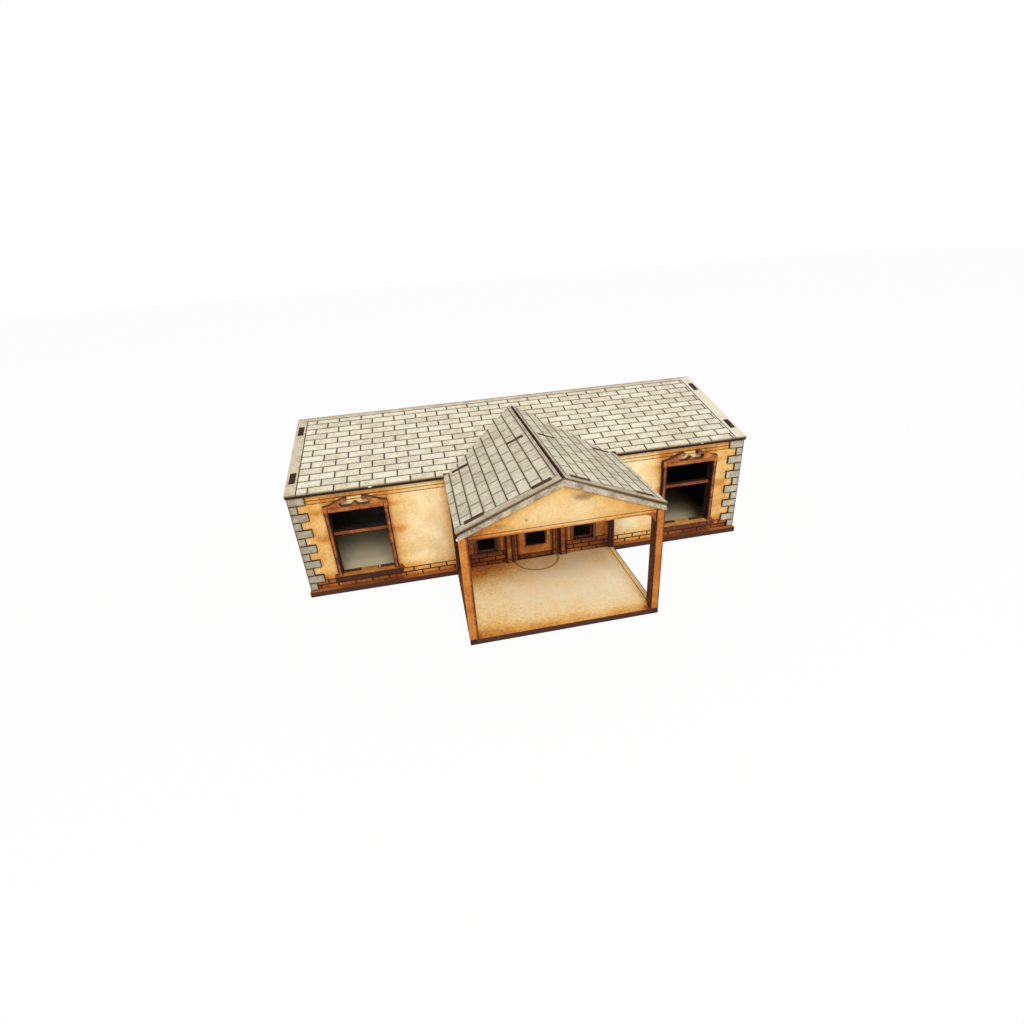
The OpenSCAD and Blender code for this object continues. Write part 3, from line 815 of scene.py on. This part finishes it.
def gable_board(name):
    f = Finish(name)
    face = scorched(f, f.z.fall(56, 62) * 0.2 + 0.34)
    colour = edged(f, face, FRONT, charred(f, tone(84, 58, 44)))
    return f.finish(colour, board_roughness(f), fibres(f))


give(gable_board("gable_boards"), "porch_gable_front", "porch_gable_back")

# ---- new pieces


def in_scene(name, data):
    made = bpy.data.objects.new(name, data)
    bpy.context.scene.collection.objects.link(made)
    return made


def finished_piece(name, mesh, material):
    """The piece that a bmesh ends as."""
    data = bpy.data.meshes.new(name)
    mesh.to_mesh(data)
    mesh.free()
    data.materials.append(material)
    return in_scene(name, data)


# ---- the porch's inner wall and its door

SHEET_OUT = 2.2
SHEET_FRONT = WALL_FACE - SHEET_OUT


def opened_sheet(name, low, high, opening_low, opening_high, material):
    """A sheet in front of the wall with one opening through it."""
    mesh = bmesh.new()
    bmesh.ops.create_cube(mesh, size=1)
    bmesh.ops.scale(mesh, vec=high - low, verts=mesh.verts)
    bmesh.ops.translate(mesh, vec=(low + high) / 2, verts=mesh.verts)
    for corner in (opening_low, opening_high):
        for normal in (RIGHT, UP):
            whole = [*mesh.verts, *mesh.edges, *mesh.faces]
            bmesh.ops.bisect_plane(mesh, geom=whole, plane_co=corner, plane_no=normal)
    cut = []
    for face in mesh.faces:
        place = face.calc_center_median()
        inside_x = opening_low.x < place.x < opening_high.x
        inside_z = opening_low.z < place.z < opening_high.z
        if abs(face.normal.y) > 0.5 and inside_x and inside_z:
            cut.append(face)
    bmesh.ops.delete(mesh, geom=cut, context="FACES")
    bmesh.ops.bridge_loops(mesh, edges=[edge for edge in mesh.edges if edge.is_boundary])
    bmesh.ops.recalc_face_normals(mesh, faces=mesh.faces)
    bmesh.ops.scale(mesh, vec=(MM,) * 3, verts=mesh.verts)
    piece = finished_piece(name, mesh, material)
    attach(piece, "root")
    return piece


def porch_wall_panel(name, window, left, right):
    low = Vector((left, SHEET_FRONT, BOARD))
    high = Vector((right, WALL_FACE - SEAT_GAP, low_mm("porch_gable_back").z - SEAT_GAP))
    opened_sheet(name, low, high, low_mm(window), high_mm(window), porch_wall("engraved_" + name, window))


wall_reach = PORCH_IN - SEAT_GAP
porch_wall_panel("porch_wall_left", "porch_window_left", PORCH_X - wall_reach, PORCH_X - PILLAR_OUT)
porch_wall_panel("porch_wall_right", "porch_window_right", PORCH_X + PILLAR_OUT, PORCH_X + wall_reach)

door_reach = DOORWAY_HALF - SEAT_GAP
door_low = Vector((PORCH_X - door_reach, SHEET_FRONT, BOARD))
door_high = Vector((PORCH_X + door_reach, WALL_FACE - SEAT_GAP, high_mm("door_frame").z))
door = opened_sheet("door", door_low, door_high, LIGHT_LOW, LIGHT_HIGH, door_sheet())
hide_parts("front_door", "door_frame")

# ---- spilt glue

# Each bead's middle and half sizes.
GLUE = (
    ((-83.0, -41.0, 59.7), (1.2, 0.5, 0.35)),
    ((98.3, -41.0, 59.8), (0.6, 0.45, 0.35)),
    ((-44.9, -103.5, 56.6), (0.55, 0.5, 0.7)),
    ((-118.9, -39.3, 31.9), (0.75, 0.4, 0.6)),
    ((-86.6, -37.4, 10.8), (0.4, 1.0, 0.3)),
)


def glue_beads():
    """Beads of dried glue, each a ball pressed flat and made uneven."""
    mesh = bmesh.new()
    for middle, size in GLUE:
        made = bmesh.ops.create_icosphere(mesh, subdivisions=3, radius=1)
        for vertex in made["verts"]:
            uneven = 1 + 0.3 * noise.noise(vertex.co * 1.4 + Vector(middle))
            vertex.co = (Vector(a * b for a, b in zip(vertex.co * uneven, size)) + Vector(middle)) * MM
    return mesh


def dried_glue():
    f = Finish("dried_glue")
    colour = f.mix(tone(250, 246, 236), tone(222, 206, 180), f.sway(0.8) * 0.4 + 0.5)
    return f.finish(colour, f.sway(0.8) * 0.08 + 0.4, f.sway(0.5) * 0.02)


glue = finished_piece("glue_spots", glue_beads(), dried_glue())
glue.data.shade_smooth()
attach(glue, "root")

# ---- camera, floor and light

camera = bpy.data.cameras.new("camera")
camera.lens = 18.485
camera.sensor_width = 36
camera.clip_start = 0.01
camera_stand = in_scene("camera", camera)
camera_stand.location = Vector((-51.726, -295.108, 163.913)) * MM
camera_stand.rotation_euler = [math.radians(a) for a in (63.1583, 3.6005, -10.8981)]
bpy.context.scene.camera = camera_stand

bpy.ops.mesh.primitive_plane_add(size=6, location=(0, 0, 0))
floor = bpy.context.object
floor.name = "floor"


def shown_pale(tree, lit, look, glow, strength, end):
    """Gives the lit shader its look, and mixes in a white glow where the camera or a gloss sees it."""
    nodes = Nodes(tree)
    shader = tree.nodes[lit]
    nodes.fill(shader, look)
    seen = nodes.node("LightPath", output="Is Camera Ray")
    for ray in ("Is Glossy Ray", "Is Transmission Ray"):
        seen = seen.most(nodes.node("LightPath", output=ray))
    pale = nodes.node(glow, inputs={"Color": WHITE})
    mixed = nodes.node("MixShader", inputs={0: seen * strength, 1: Field(nodes, shader.outputs[0]), 2: pale})
    nodes.fill(tree.nodes[end], {"Surface": mixed})


white_floor = bpy.data.materials.new("white_floor")
white_floor.use_nodes = True
matt = {"Base Color": (0.86, 0.86, 0.86, 1), "Roughness": 1.0}
shown_pale(white_floor.node_tree, "Principled BSDF", matt, "Emission", 0.93, "Material Output")
floor.data.materials.append(white_floor)

world = bpy.data.worlds.new("studio")
bpy.context.scene.world = world
world.use_nodes = True
ambient = {"Color": (1, 0.99, 0.97, 1), "Strength": 0.68}
shown_pale(world.node_tree, "Background", ambient, "Background", 1.0, "World Output")


HOUSE_MIDDLE = Vector((0, 0, 0.03))


def soft_light(name, place, power, size):
    """A square lamp that shines on the middle of the house."""
    lamp = bpy.data.lights.new(name, "AREA")
    lamp.energy = power
    lamp.size = size
    stand = in_scene(name, lamp)
    stand.location = place
    stand.rotation_euler = (HOUSE_MIDDLE - Vector(place)).to_track_quat("-Z", "Y").to_euler()


soft_light("key", (0.02, -0.8, 0.72), power=5.6, size=0.4)
bpy.context.scene.view_settings.view_transform = "Standard"
